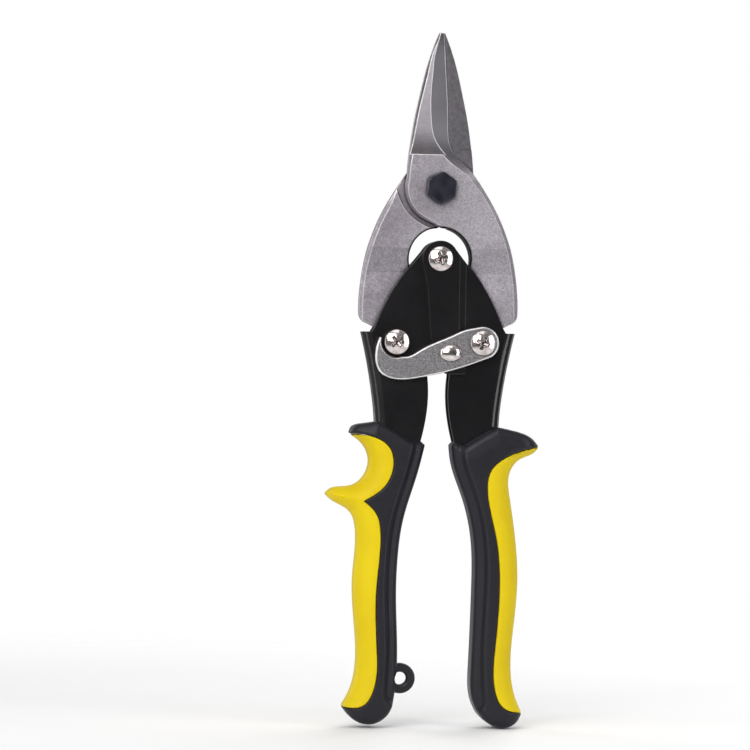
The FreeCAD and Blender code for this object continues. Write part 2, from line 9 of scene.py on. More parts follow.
import bpy
import numpy as np
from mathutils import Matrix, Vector


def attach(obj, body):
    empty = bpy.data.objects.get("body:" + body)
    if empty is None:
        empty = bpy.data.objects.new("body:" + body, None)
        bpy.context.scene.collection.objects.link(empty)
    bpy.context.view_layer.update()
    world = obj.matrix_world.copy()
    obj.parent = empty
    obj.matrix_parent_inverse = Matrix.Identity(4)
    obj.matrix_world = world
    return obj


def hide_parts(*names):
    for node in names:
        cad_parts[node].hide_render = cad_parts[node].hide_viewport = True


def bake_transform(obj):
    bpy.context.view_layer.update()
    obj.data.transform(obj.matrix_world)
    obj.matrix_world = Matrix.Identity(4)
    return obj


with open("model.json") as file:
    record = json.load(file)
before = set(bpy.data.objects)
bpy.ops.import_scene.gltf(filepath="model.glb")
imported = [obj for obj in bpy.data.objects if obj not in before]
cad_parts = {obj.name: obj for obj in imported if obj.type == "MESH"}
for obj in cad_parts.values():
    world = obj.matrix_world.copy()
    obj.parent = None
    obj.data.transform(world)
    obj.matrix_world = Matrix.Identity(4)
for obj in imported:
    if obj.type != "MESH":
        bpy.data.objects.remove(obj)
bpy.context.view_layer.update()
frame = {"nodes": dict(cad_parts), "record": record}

nodes = frame["nodes"]

MM = 0.001
CENTRE_SHIFT = 1.45
SLOPE_FLOOR = 0.2
HANDLE_PIVOT = (0.0, 168.5)
LEFT_LINK = (-15.5, 138.4)
RIGHT_LINK = (15.5, 138.4)


def put(points):
    """Tool frame in millimetres to row frame in metres."""
    return (np.asarray(points, float) + [CENTRE_SHIFT, 0, 0]) * MM


# ---------------------------------------------------------------- meshes

def make_object(name, verts, faces, normals=None):
    mesh = bpy.data.meshes.new(name)
    mesh.from_pydata(put(verts).tolist(), [], [list(map(int, f)) for f in faces])
    mesh.shade_smooth()
    if normals is not None:
        mesh.normals_split_custom_set_from_vertices(normals.tolist())
    mesh.update()
    made = bpy.data.objects.new(name, mesh)
    bpy.context.scene.collection.objects.link(made)
    return made


def spline(points, spacing=0.8):
    """A natural cubic spline through the points, sampled about every spacing."""
    p = np.asarray(points, float)
    chord = np.linalg.norm(np.diff(p, axis=0), axis=1)
    n = len(p)
    system = np.eye(n)
    right = np.zeros_like(p)
    for i in range(1, n - 1):
        system[i, i - 1:i + 2] = chord[i - 1], 2 * (chord[i - 1] + chord[i]), chord[i]
        right[i] = 6 * ((p[i + 1] - p[i]) / chord[i] - (p[i] - p[i - 1]) / chord[i - 1])
    bend = np.linalg.solve(system, right)
    out = []
    for i in range(n - 1):
        count = max(2, int(math.ceil(chord[i] / spacing)))
        u = np.arange(count)[:, None] / count * chord[i]
        h = chord[i]
        slope = (p[i + 1] - p[i]) / h - h * (2 * bend[i] + bend[i + 1]) / 6
        out.append(p[i] + slope * u + bend[i] / 2 * u ** 2 + (bend[i + 1] - bend[i]) / (6 * h) * u ** 3)
    return np.vstack(out + [p[-1:]])


def trace(start, runs):
    """A polyline: each run is a list of points, one for a straight line and more for a curve."""
    line = [np.array([start], float)]
    for run in runs:
        points = np.vstack([line[-1][-1:], np.asarray(run, float)])
        line.append(points[1:] if len(run) == 1 else spline(points)[1:])
    return np.vstack(line)


def line_distance(p, line, closed=False, chunk=40000):
    """Distance from points p to a polyline, negative inside it when closed."""
    a = line if closed else line[:-1]
    b = np.roll(line, -1, axis=0) if closed else line[1:]
    run = b - a
    length2 = np.maximum((run ** 2).sum(1), 1e-12)
    out = np.empty(len(p))
    for i in range(0, len(p), chunk):
        q = p[i:i + chunk]
        rel = q[:, None, :] - a[None]
        t = np.clip((rel * run).sum(-1) / length2, 0, 1)
        gap = rel - t[..., None] * run
        near = np.sqrt((gap ** 2).sum(-1).min(1))
        if closed:
            z = q[:, 1:2]
            spans = (a[:, 1] > z) != (b[:, 1] > z)
            rise = np.where(run[:, 1] == 0, 1e-12, run[:, 1])
            cross = a[:, 0] + (z - a[:, 1]) / rise * run[:, 0]
            inside = (spans & (q[:, :1] < cross)).sum(1) % 2 == 1
            near = np.where(inside, -near, near)
        out[i:i + chunk] = near
    return out


def smooth_max(a, b, k):
    h = np.clip(0.5 + 0.5 * (a - b) / k, 0, 1)
    return b + (a - b) * h + k * h * (1 - h)


def smooth_min(a, b, k):
    return -smooth_max(-a, -b, k)


def smooth_step(lo, hi, x):
    t = np.clip((x - lo) / (hi - lo), 0, 1)
    return t * t * (3 - 2 * t)


def polar(centre, radius, angle):
    return centre[0] + radius * math.cos(angle), centre[1] + radius * math.sin(angle)


def rounded(a, b, r):
    """Where two half-spaces meet, with their edge rounded to radius r."""
    qa, qb = a + r, b + r
    return np.hypot(np.maximum(qa, 0), np.maximum(qb, 0)) + np.minimum(np.maximum(qa, qb), 0) - r


def surface_nets(values, low, step):
    """Vertices and quads where values on a grid change sign."""
    inside = values < 0
    size = np.array(values.shape)
    corners = [np.array(c) for c in np.ndindex(2, 2, 2)]
    cells = [inside[tuple(slice(c[a], size[a] - 1 + c[a]) for a in range(3))] for c in corners]
    count = np.sum(cells, axis=0)
    active = (count > 0) & (count < 8)
    index = np.full(active.shape, -1)
    index[active] = np.arange(active.sum())
    where = np.argwhere(active)
    total = np.zeros((len(where), 3))
    hits = np.zeros(len(where))
    for a in corners:
        for axis in range(3):
            if a[axis]:
                continue
            b = a.copy()
            b[axis] = 1
            fa = values[tuple((where + a).T)]
            fb = values[tuple((where + b).T)]
            cut = (fa < 0) != (fb < 0)
            t = fa[cut] / (fa[cut] - fb[cut])
            total[cut] += a + t[:, None] * (b - a)
            hits[cut] += 1
    verts = low + step * (where + total / hits[:, None])
    quads = []
    for axis in range(3):
        u, v = (axis + 1) % 3, (axis + 2) % 3
        first = [slice(None)] * 3
        last = [slice(None)] * 3
        first[axis], last[axis] = slice(0, -1), slice(1, None)
        here, there = inside[tuple(first)], inside[tuple(last)]
        at = np.argwhere(here != there)
        at = at[(at[:, u] > 0) & (at[:, v] > 0) & (at[:, u] < size[u] - 1) & (at[:, v] < size[v] - 1)]
        du, dv = np.eye(3, dtype=int)[u], np.eye(3, dtype=int)[v]
        ring = np.stack([index[tuple((at - s).T)] for s in (du + dv, dv, 0 * du, du)], 1)
        out = here[tuple(at.T)]
        quads.append(np.where(out[:, None], ring, ring[:, ::-1]))
    return verts, np.vstack(quads)


class Plan:
    """Values that depend on (x, z) alone, worked out on a fine grid and read between its points."""

    def __init__(self, values_at, low, high, step):
        self.low, self.step = np.array([low[0], low[2]]), step
        self.axes = [np.arange(low[a], high[a] + step, step) for a in (0, 2)]
        flat = np.stack(np.meshgrid(*self.axes, indexing="ij"), -1).reshape(-1, 2)
        shape = [len(axis) for axis in self.axes]
        self.grids = [v.reshape(shape) for v in values_at(flat)]

    def every(self, stride):
        return [grid[::stride, ::stride] for grid in self.grids]

    def at(self, p):
        f = (p - self.low) / self.step
        i = np.clip(f.astype(int), 0, np.array(self.grids[0].shape) - 2)
        (u, v), (a, b) = (f - i).T, i.T
        return [g[a, b] * (1 - u) * (1 - v) + g[a + 1, b] * u * (1 - v)
                + g[a, b + 1] * (1 - u) * v + g[a + 1, b + 1] * u * v for g in self.grids]


def field_mesh(plan, depth, y_low, y_high, stride):
    """A closed mesh of the shape where depth(plan values, y) is negative."""
    step = plan.step * stride
    ys = np.arange(y_low, y_high + step, step)
    across = [g[:, None, :] for g in plan.every(stride)]
    low = np.array([plan.low[0], y_low, plan.low[1]])
    verts, quads = surface_nets(depth(across, ys[None, :, None]), low, step)

    def at(p):
        return depth(plan.at(p[:, [0, 2]]), p[:, 1])

    h = plan.step
    for _ in range(2):
        slope = np.stack([(at(verts + h * e) - at(verts - h * e)) / (2 * h) for e in np.eye(3)], 1)
        move = -at(verts)[:, None] * slope / np.maximum((slope ** 2).sum(1), SLOPE_FLOOR)[:, None]
        verts = verts + np.clip(move, -0.5 * step, 0.5 * step)
    slope = np.stack([at(verts + h * e) - at(verts - h * e) for e in np.eye(3)], 1)
    normals = slope / np.maximum(np.linalg.norm(slope, axis=1), 1e-9)[:, None]
    return verts, quads, normals


def tube(path, radius, sides=14):
    """A round tube with closed ends along a path."""
    path = np.asarray(path, float)
    along = np.gradient(path, axis=0)
    along /= np.linalg.norm(along, axis=1)[:, None]
    side = np.cross(along[0], [0.3, 1.0, 0.2])
    verts, faces = [], []
    for here, way in zip(path, along):
        side = side - (side @ way) * way
        side /= np.linalg.norm(side)
        other = np.cross(way, side)
        for k in range(sides):
            a = 2 * math.pi * k / sides
            verts.append(here + radius * (math.cos(a) * side + math.sin(a) * other))
    for i in range(len(path) - 1):
        for k in range(sides):
            a, b = i * sides + k, i * sides + (k + 1) % sides
            faces.append((a, b, b + sides, a + sides))
    faces.append(tuple(range(sides))[::-1])
    faces.append(tuple(range(len(verts) - sides, len(verts))))
    return np.array(verts), faces


def lathe(profile, sides=48):
    """A closed solid turned about the Y axis from (radius, y) points that start and end on it."""
    ring = [p for p in profile if p[0] > 1e-6]
    angles = 2 * math.pi * np.arange(sides) / sides
    verts = [(r * math.cos(a), y, r * math.sin(a)) for r, y in ring for a in angles]
    faces = []
    for i in range(len(ring) - 1):
        for k in range(sides):
            a, b = i * sides + k, i * sides + (k + 1) % sides
            faces.append((a, a + sides, b + sides, b))
    faces.append(tuple(range(sides)))
    faces.append(tuple(range(len(verts) - sides, len(verts)))[::-1])
    return np.array(verts), faces


# ---------------------------------------------------------------- materials

LEDGE_Z = 0.2060
BLADE_FOOT_Z = 0.198
FACET_LOW_Z, FACET_HIGH_Z = 0.2075, 0.2230
SHEAR_Z = 0.196
WINDOW_RIM_SHADE_R = 0.01155, 0.01200


def add(tree, kind, inputs=None, **settings):
    made = tree.nodes.new(kind)
    for key, value in settings.items():
        setattr(made, key, value)
    for key, value in (inputs or {}).items():
        if isinstance(value, bpy.types.NodeSocket):
            tree.links.new(value, made.inputs[key])
        else:
            made.inputs[key].default_value = value
    return made


def place(tree, stretch=(1, 1, 1)):
    coords = add(tree, "ShaderNodeTexCoord").outputs["Object"]
    return add(tree, "ShaderNodeMapping", {"Vector": coords, "Scale": stretch}).outputs["Vector"]


def noise(tree, where, scale, detail=2.0, rough=0.5):
    return add(tree, "ShaderNodeTexNoise",
               {"Vector": where, "Scale": scale, "Detail": detail, "Roughness": rough}).outputs["Fac"]


def remap(tree, value, lo, hi, new_lo, new_hi):
    return add(tree, "ShaderNodeMapRange", {"Value": value, "From Min": lo, "From Max": hi,
                                            "To Min": new_lo, "To Max": new_hi}).outputs["Result"]


def maths(tree, kind, a, b):
    return add(tree, "ShaderNodeMath", {0: a, 1: b}, operation=kind).outputs["Value"]


def times(tree, a, b):
    return maths(tree, "MULTIPLY", a, b)


def mix(tree, fac, a, b):
    made = add(tree, "ShaderNodeMix", data_type="RGBA")
    for key, value in ((0, fac), (6, a), (7, b)):
        if isinstance(value, bpy.types.NodeSocket):
            tree.links.new(value, made.inputs[key])
        else:
            made.inputs[key].default_value = value
    return made.outputs[2]


def parts_of(tree, vector):
    made = add(tree, "ShaderNodeSeparateXYZ", {"Vector": vector})
    return [made.outputs[axis] for axis in "XYZ"]


def facing_side(tree):
    """How squarely a surface faces the front or the back: 1 on the tool's flat faces."""
    normal = add(tree, "ShaderNodeNewGeometry").outputs["Normal"]
    return maths(tree, "ABSOLUTE", parts_of(tree, normal)[1], 0)


def crevice_shade(tree, reach, lo=0.45, hi=0.85):
    """1 deep in a corner or a recess, falling to 0 on open surfaces; it places painted shade."""
    shade = add(tree, "ShaderNodeAmbientOcclusion", {"Distance": reach}, samples=8).outputs["AO"]
    return remap(tree, shade, lo, hi, 1.0, 0.0)


def grey(value, tint=(1.0, 1.0, 1.0)):
    return (value * tint[0], value * tint[1], value * tint[2], 1.0)


def edge_highlight_mask(tree, radius, none=0.995, full=0.93):
    """1 along the edges of a mesh, falling to 0 about radius away; it places painted highlights.

    none and full are how well the rounded normal agrees with the flat one where the mask is 0 and 1.
    """
    soft = add(tree, "ShaderNodeBevel", {"Radius": radius}, samples=8).outputs["Normal"]
    flat = add(tree, "ShaderNodeNewGeometry").outputs["Normal"]
    agree = add(tree, "ShaderNodeVectorMath", {0: soft, 1: flat}, operation="DOT_PRODUCT")
    return remap(tree, agree.outputs["Value"], none, full, 0.0, 1.0)


def bumped(tree, layers, radius=0.0):
    """A normal with several layers of bump, each (height, strength, distance)."""
    normal = None
    if radius:
        normal = add(tree, "ShaderNodeBevel", {"Radius": radius}, samples=8).outputs["Normal"]
    for height, strength, distance in layers:
        inputs = {"Height": height, "Strength": strength, "Distance": distance}
        if normal is not None:
            inputs["Normal"] = normal
        normal = add(tree, "ShaderNodeBump", inputs).outputs["Normal"]
    return normal


def finish_material(name, build):
    material = bpy.data.materials.new(name)
    material.use_nodes = True
    tree = material.node_tree
    tree.nodes.clear()
    shader = add(tree, "ShaderNodeBsdfPrincipled", build(tree))
    add(tree, "ShaderNodeOutputMaterial", {"Surface": shader.outputs["BSDF"]})
    return material


def forged_tone_and_painted_light(tree, x, cloud, mottle, grain):
    """The jaws' skin: mottled grey as forged, with painted light that makes it a little lighter towards
    the right.
    """
    tone = mix(tree, remap(tree, cloud, 0.35, 0.65, 0, 1), grey(0.41, (1.0, 0.92, 1.02)),
               grey(0.48, (1.0, 0.93, 1.03)))
    tone = mix(tree, remap(tree, mottle, 0.38, 0.62, 0, 0.6), tone, grey(0.29, (1.0, 0.91, 1.02)))
    # painted light: the tone is lightened towards the right
    painted_light_right = remap(tree, x, -0.016, 0.020, 0.0, 1.0)
    tone = mix(tree, times(tree, painted_light_right, 0.42), tone, grey(0.76, (1.0, 0.94, 1.02)))
    return mix(tree, remap(tree, grain, 0.40, 0.62, 0, 0.62), tone, grey(0.22, (1.0, 0.92, 1.02)))


def nose_strokes_and_painted_shade(tree, z):
    """The ground flat of the nose: streaks across it, with painted shade that makes it darkest just
    above the ledge.
    """
    strokes = noise(tree, place(tree, (0.25, 1, 1)), 1500, 2)
    low = mix(tree, strokes, grey(0.09, (1.0, 0.95, 1.02)), grey(0.18, (1.0, 0.95, 1.02)))
    high = mix(tree, strokes, grey(0.36, (1.0, 0.95, 1.02)), grey(0.50, (1.0, 0.95, 1.02)))
    # painted shade: the darker tones are used just above the ledge
    return mix(tree, remap(tree, z, LEDGE_Z + 0.002, LEDGE_Z + 0.010, 0.0, 1.0), low, high)


def window_rim_shade(tree, x, z):
    """1 on the rim round the window between the jaws, where painted shade goes."""
    across = maths(tree, "SUBTRACT", x, (CENTRE_SHIFT + HANDLE_PIVOT[0]) * MM)
    down = maths(tree, "SUBTRACT", z, HANDLE_PIVOT[1] * MM)
    square = maths(tree, "ADD", times(tree, across, across), times(tree, down, down))
    return remap(tree, maths(tree, "SQRT", square, 0), *WINDOW_RIM_SHADE_R, 1.0, 0.0)


def jaw_steel(tree):
    where = place(tree)
    x, y, z = parts_of(tree, where)
    square = facing_side(tree)
    cloud = noise(tree, where, 90, 3)
    mottle = noise(tree, where, 620, 3, 0.6)
    grain = noise(tree, where, 1700, 3, 0.7)
    pits = remap(tree, noise(tree, where, 5200, 1), 0.62, 0.74, 0.0, 1.0)
    lines = noise(tree, place(tree, (1, 1, 0.06)), 2600, 2)
    tone = forged_tone_and_painted_light(tree, x, cloud, mottle, grain)

    # the nose's ground flat, with its painted shade just above the ledge
    ground = remap(tree, z, LEDGE_Z - 0.0004, LEDGE_Z + 0.0010, 0.0, 1.0)
    tone = mix(tree, times(tree, ground, 0.85), tone, nose_strokes_and_painted_shade(tree, z))

    blade = remap(tree, z, BLADE_FOOT_Z, LEDGE_Z, 0.0, 1.0)
    # painted shade: the blade's hollow-ground facet is darkened, more towards its top
    hollow = times(tree, remap(tree, square, 0.965, 0.93, 0.0, 1.0),
                   remap(tree, square, 0.60, 0.66, 0.0, 1.0))
    facet_painted_shade = mix(tree, remap(tree, z, FACET_LOW_Z, FACET_HIGH_Z, 0.0, 1.0),
                grey(0.28, (1.0, 0.95, 1.04)), grey(0.155, (1.0, 0.95, 1.04)))
    tone = mix(tree, times(tree, times(tree, hollow, blade), 0.93), tone, facet_painted_shade)

    # painted shade: the blades' shear faces near y = 0 are darkened
    depth = remap(tree, maths(tree, "ABSOLUTE", y, 0), 0.0013, 0.0017, 1.0, 0.0)
    shear_face_shade = times(tree, remap(tree, z, SHEAR_Z, BLADE_FOOT_Z, 0.0, 1.0),
                  times(tree, depth, remap(tree, square, 0.93, 0.97, 0.0, 1.0)))
    inner = mix(tree, remap(tree, mottle, 0.38, 0.62, 0, 1), grey(0.185, (1.0, 0.94, 1.02)),
                grey(0.135, (1.0, 0.94, 1.02)))
    tone = mix(tree, times(tree, shear_face_shade, 0.96), tone, inner)

    # painted highlight: light lines along the blade's edges
    ridge_highlight = times(tree, edge_highlight_mask(tree, 0.00055, 0.999, 0.975),
                  maths(tree, "SUBTRACT", remap(tree, blade, 0, 1, 0.45, 0.95), shear_face_shade))
    tone = mix(tree, ridge_highlight, tone, grey(0.95, (1.0, 0.97, 0.975)))
    # painted shade: near black in corners and recesses
    tone = mix(tree, times(tree, crevice_shade(tree, 0.0018), 0.9), tone, (0.018, 0.014, 0.016, 1))
    # painted shade: the window's rim is made near black
    tone = mix(tree, window_rim_shade(tree, x, z), tone, (0.012, 0.011, 0.013, 1))
    rough = maths(tree, "ADD", remap(tree, cloud, 0.3, 0.7, 0.42, 0.50), times(tree, pits, 0.12))
    normal = bumped(tree, [(grain, 0.18, 0.00006), (mottle, 0.10, 0.00008), (lines, 0.08, 0.00005),
                           (pits, -0.12, 0.00003)], 0.00015)
    return {"Base Color": tone, "Metallic": 1.0, "Roughness": rough, "Normal": normal}


def black_oxide(tree):
    where = place(tree)
    cloud = noise(tree, where, 260, 3)
    grain = noise(tree, where, 3800, 2)
    tone = mix(tree, cloud, (0.018, 0.019, 0.028, 1), (0.038, 0.040, 0.056, 1))
    # painted highlight: lighter along the edges
    tone = mix(tree, edge_highlight_mask(tree, 0.0004), tone, (0.10, 0.11, 0.135, 1))
    rough = remap(tree, cloud, 0.3, 0.7, 0.30, 0.46)
    return {"Base Color": tone, "Metallic": 0.75, "Roughness": rough, "Specular IOR Level": 0.6,
            "Normal": bumped(tree, [(grain, 0.15, 0.00005)], 0.00035)}


def zinc_plate(tree):
    where = place(tree)
    cloud = noise(tree, where, 320, 3)
    scratch = noise(tree, place(tree, (1, 1, 0.15)), 2200, 2)
    tone = mix(tree, cloud, (0.52, 0.53, 0.56, 1), (0.66, 0.67, 0.68, 1))
    return {"Base Color": tone, "Metallic": 1.0, "Roughness": remap(tree, cloud, 0.3, 0.7, 0.22, 0.36),
            "Normal": bumped(tree, [(scratch, 0.10, 0.00004)], 0.0002)}


def nickel_plate(tree):
    where = place(tree)
    cloud = noise(tree, where, 420, 3)
    ripple = noise(tree, where, 700, 1)
    fine = noise(tree, where, 3200, 2)
    tone = mix(tree, remap(tree, cloud, 0.35, 0.65, 0, 1), (0.52, 0.46, 0.45, 1), (0.80, 0.74, 0.73, 1))
    # painted shade: dark brown in the cross recess and round the head
    tone = mix(tree, crevice_shade(tree, 0.0022, 0.45, 0.92), tone, (0.040, 0.018, 0.009, 1))
    return {"Base Color": tone, "Metallic": 1.0, "Roughness": remap(tree, cloud, 0.3, 0.7, 0.08, 0.16),
            "Normal": bumped(tree, [(ripple, 0.35, 0.00010), (fine, 0.06, 0.00003)], 0.00012)}


def spring_steel(tree):
    where = place(tree)
    cloud = noise(tree, where, 500, 3)
    tone = mix(tree, cloud, (0.22, 0.21, 0.215, 1), (0.36, 0.35, 0.35, 1))
    return {"Base Color": tone, "Metallic": 1.0, "Roughness": remap(tree, cloud, 0.3, 0.7, 0.28, 0.42),
            "Normal": bumped(tree, [(noise(tree, where, 3000, 2), 0.12, 0.00004)])}


def latch_steel(tree):
    where = place(tree)
    cloud = noise(tree, where, 150, 3)
    grain = noise(tree, where, 1500, 3, 0.65)
    tone = mix(tree, remap(tree, grain, 0.36, 0.64, 0, 1), grey(0.155, (1, 0.97, 1.0)),
               grey(0.40, (1, 0.97, 1.0)))
    tone = mix(tree, remap(tree, cloud, 0.35, 0.65, 0, 0.35), tone, grey(0.22, (1, 1, 1.02)))
    # painted highlight: a bright rim on the rounded edges
    rim_highlight = remap(tree, facing_side(tree), 0.985, 0.90, 0.0, 1.0)
    tone = mix(tree, rim_highlight, tone, grey(0.95, (1, 0.985, 0.97)))
    rough = maths(tree, "SUBTRACT", remap(tree, grain, 0.3, 0.7, 0.40, 0.52), times(tree, rim_highlight, 0.14))
    return {"Base Color": tone, "Metallic": 1.0, "Roughness": rough,
            "Normal": bumped(tree, [(grain, 0.30, 0.00007)])}


def handle_lacquer(tree):
    where = place(tree)
    cloud = noise(tree, where, 60, 3)
    peel = noise(tree, where, 520, 2)
    dust = remap(tree, noise(tree, where, 4200, 1), 0.70, 0.80, 0.0, 1.0)
    tone = mix(tree, cloud, (0.0040, 0.0034, 0.0040, 1), (0.0075, 0.0068, 0.0082, 1))
    # painted highlight: a little lighter along the edges
    tone = mix(tree, times(tree, edge_highlight_mask(tree, 0.0003), 0.3), tone, (0.030, 0.028, 0.033, 1))
    rough = maths(tree, "ADD", remap(tree, cloud, 0.3, 0.7, 0.20, 0.28), times(tree, dust, 0.15))
    return {"Base Color": tone, "Metallic": 0.0, "Roughness": rough, "Specular IOR Level": 0.4,
            "Coat Weight": 0.35, "Coat Roughness": 0.12,
            "Normal": bumped(tree, [(peel, 0.10, 0.00008)], 0.00035)}


def grip_black(tree):
    where = place(tree)
    cloud = noise(tree, where, 70, 3)
    leather = noise(tree, where, 1500, 2, 0.55)
    fine = noise(tree, where, 4200, 2)
    tone = mix(tree, cloud, (0.0070, 0.0064, 0.0100, 1), (0.0120, 0.0112, 0.0165, 1))
    return {"Base Color": tone, "Roughness": remap(tree, leather, 0.3, 0.7, 0.36, 0.48),
            "Specular IOR Level": 0.33, "Sheen Weight": 0.04, "Sheen Roughness": 0.4,
            "Sheen Tint": (0.75, 0.78, 1.0, 1),
            "Normal": bumped(tree, [(leather, 0.20, 0.00007), (fine, 0.12, 0.00004)])}


def grip_yellow(tree):
    where = place(tree)
    cloud = noise(tree, where, 55, 3)
    leather = noise(tree, where, 1500, 2, 0.55)
    fine = noise(tree, where, 4200, 2)
    tone = mix(tree, remap(tree, cloud, 0.3, 0.7, 0, 1), (0.65, 0.475, 0.001, 1),
               (0.71, 0.545, 0.0015, 1))
    return {"Base Color": tone, "Roughness": remap(tree, leather, 0.3, 0.7, 0.44, 0.58),
            "Specular IOR Level": 0.2,
            "Normal": bumped(tree, [(leather, 0.10, 0.00006), (fine, 0.06, 0.00003)])}


MATERIALS = {make.__name__: finish_material(make.__name__, make) for make in (
    jaw_steel, black_oxide, zinc_plate, nickel_plate, spring_steel, latch_steel, handle_lacquer,
    grip_black, grip_yellow)}
SLOT_OF = {part["node"]: part["material_slot"] for part in frame["record"]["subparts"]}


def paint(piece, slot):
    piece.data.materials.clear()
    piece.data.materials.append(MATERIALS[slot])


# ---------------------------------------------------------------- grips

GRIP_HALF = 8.9
SKIN_INSET = 0.05
OUTER_ROUND = 6.2
INNER_ROUND = 2.6
ROUND_BLEND = 6.0, -2.0
SPINE_DROP = 1.9
SPINE_BAND = 2.6, 5.2
CROWN = 0.5
CROWN_REACH = 7.0
SEAM_GAP = 0.06
SEAM_ROUND = 0.35
SEAM_SHIFT = -0.5
EYE = np.array([-11.9, 17.4])
EYE_BORE_R = 2.2
EYE_RING_R = 3.85
EYE_RING_HALF = 1.65
EYE_HALF = 2.0
EYE_ROUND = 1.1
GRIP_STEP = 0.2

LEFT_INNER = [(-7.1, 90.4), (-11.6, 75.3), (-13.6, 60.0), (-13.9, 47.0), (-13.2, 28.0), (-13.9, 12.5)]
LEFT_START = (-4.3, 101.6)
LEFT_OUTLINE = [
    LEFT_INNER + [(-16.4, 4.6), (-22.7, 1.0), (-29.6, 3.2), (-33.0, 7.3)],
    [(-30.3, 12.2), (-28.0, 22.5), (-28.4, 34.7), (-29.5, 53.1), (-28.6, 69.0), (-31.0, 77.2),
     (-38.6, 82.0), (-40.0, 83.6)],
    [(-38.2, 85.3), (-30.5, 86.7), (-25.6, 91.0), (-24.5, 96.5), (-27.0, 101.8), (-31.6, 105.2)],
    [(-30.8, 107.4), (-26.0, 109.1), (-21.5, 109.8)],
    [(-9.6, 102.9)], [(-6.0, 103.1)],
]
LEFT_SEAM = [
    [(-22.7, 104.2), (-16.8, 100.2), (-15.5, 94.5), (-18.2, 86.9), (-25.9, 81.2)],
    [(-21.2, 76.3), (-19.8, 70.0), (-20.9, 50.9), (-20.5, 28.0), (-21.2, 14.5), (-25.2, 7.8),
     (-33.0, 7.3)],
    [(-50.0, 7.3)], [(-50.0, 105.2)],
]
RIGHT_START = (4.9, 101.6)
RIGHT_INNER = [(5.6, 95.8), (9.9, 83.0), (13.5, 67.5), (14.0, 49.2), (13.2, 21.6), (14.0, 9.7)]
RIGHT_OUTLINE = [
    RIGHT_INNER + [(18.2, 2.9), (24.2, 0.0), (30.2, 2.1), (32.3, 5.4)],
    [(29.8, 11.3), (28.1, 21.8), (29.0, 37.0), (30.1, 53.0), (28.8, 70.4), (26.8, 83.3), (26.6, 91.5),
     (30.5, 96.8), (35.6, 99.3), (37.1, 101.4)],
    [(34.9, 104.0), (27.5, 107.2), (21.4, 108.5)],
    [(15.6, 105.3), (9.6, 101.5)], [(6.4, 103.0)],
]
RIGHT_SEAM = [
    [(26.5, 98.1), (19.6, 92.3), (18.6, 84.5), (21.9, 68.5), (23.4, 51.0), (22.1, 28.7), (21.9, 15.8),
     (25.5, 7.4), (32.3, 5.4)],
    [(50.0, 5.4)], [(50.0, 101.4)],
]


def grip_fields(start, outline, seam_start, seam, inner, eye):
    """plan() and the depth functions of a grip's black body and of its yellow inlay."""
    edge = trace(start, outline)
    region = trace(seam_start, seam) + [SEAM_SHIFT, 0]
    spine = trace(start, [inner])

    def values_at(p):
        out = line_distance(p, edge, closed=True) + SKIN_INSET
        side = line_distance(p, region, closed=True)
        near = line_distance(p, spine)
        ring = np.hypot(*(p - EYE).T) if eye else np.full(len(p), 99.0)
        return out, side, near, ring

    def whole(values, y):
        out, side, near, _ = values
        r = INNER_ROUND + (OUTER_ROUND - INNER_ROUND) * smooth_step(*ROUND_BLEND, side)
        drop = SPINE_DROP * (1 - smooth_step(*SPINE_BAND, near))
        crown = CROWN * smooth_step(CROWN_REACH, 0.0, -out)
        return rounded(out, np.abs(y) - (GRIP_HALF - drop - crown), r)

    def body(values, y):
        _, side, _, ring = values
        shape = rounded(whole(values, y), SEAM_GAP - side, SEAM_ROUND)
        if eye:
            lug = rounded(np.abs(ring - EYE_RING_R) - EYE_RING_HALF, np.abs(y) - EYE_HALF, EYE_ROUND)
            shape = smooth_min(shape, lug, 0.9)
            shape = smooth_max(shape, EYE_BORE_R - ring, 0.3)
        return shape

    def inlay(values, y):
        return rounded(whole(values, y), values[1] + SEAM_GAP, SEAM_ROUND)

    low = [edge[:, 0].min() - 2, 0, edge[:, 1].min() - 2]
    high = [max(edge[:, 0].max(), EYE[0] + 6 if eye else -99) + 2, 0, edge[:, 1].max() + 2]
    return Plan(values_at, low, high, GRIP_STEP), body, inlay


def build_grip(side, start, outline, seam_start, seam, inner):
    plan, body, inlay = grip_fields(start, outline, seam_start, seam, inner, side == "left")
    stride = 3
    for part, shape, slot in (("body", body, "grip_black"), ("inlay", inlay, "grip_yellow")):
        node = f"{side}_grip_{part}"
        made = make_object(f"{node}_skin", *field_mesh(plan, shape, -10, 10, stride))
        paint(made, slot)
        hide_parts(node)
        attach(made, f"{side}_handle")


build_grip("left", LEFT_START, LEFT_OUTLINE, (-31.6, 105.2), LEFT_SEAM, LEFT_INNER)
build_grip("right", RIGHT_START, RIGHT_OUTLINE, (37.1, 101.4), RIGHT_SEAM, RIGHT_INNER)


# ---------------------------------------------------------------- screws

HEAD_R = 4.55
HEAD_HEIGHT = 2.1
HEAD_DOME_R = 9.0
HEAD_ROUND = 0.35
ARM_REACH, ARM_REACH_TAPER = 2.60, 0.55
ARM_HALF, ARM_HALF_TAPER = 0.60, 0.10
HUB_R, HUB_TAPER = 1.15, 0.35
RECESS_DEPTH, RECESS_SLOPE = 1.75, 0.35
HEAD_STEP = 0.05
SHANK_R = 2.9


